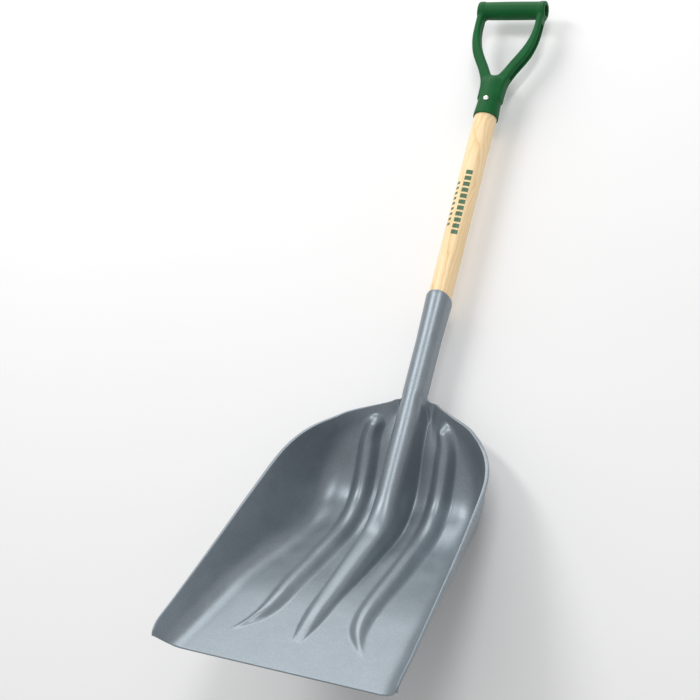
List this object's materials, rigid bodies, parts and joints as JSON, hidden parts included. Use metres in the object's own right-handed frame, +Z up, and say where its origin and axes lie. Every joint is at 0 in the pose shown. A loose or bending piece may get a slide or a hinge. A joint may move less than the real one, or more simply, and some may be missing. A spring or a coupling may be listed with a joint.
{
  "type": "snow shovel",
  "caption": "Scoop snow shovel: deep ribbed plastic scoop blade moulded with its socket, straight tapered ash shaft and a moulded D-grip held by a rivet.",
  "frame": {"origin": "middle of the underside of the whole shovel's box, with the shovel lying on the back of its blade", "axes": "+Y along the shaft from the scoop to the grip, +Z up out of the front of the shaft and the open side of the scoop, +X across the blade to the right"},
  "size_m": [0.3654, 1.2048, 0.2954],
  "materials": {
    "silver_plastic": "satin silver-grey with fine metallic flake",
    "ash_wood": "clear varnished pale ash, grain along the shaft",
    "green_plastic": "satin dark green",
    "zinc_steel": "zinc plated"
  },
  "bodies": {
    "root": {"scoop_blade": "silver_plastic", "shaft": "ash_wood", "d_grip": "green_plastic", "grip_rivet": "zinc_steel", "grip_rivet_washer": "zinc_steel", "socket_screw": "zinc_steel"}
  },
  "joints": []
}
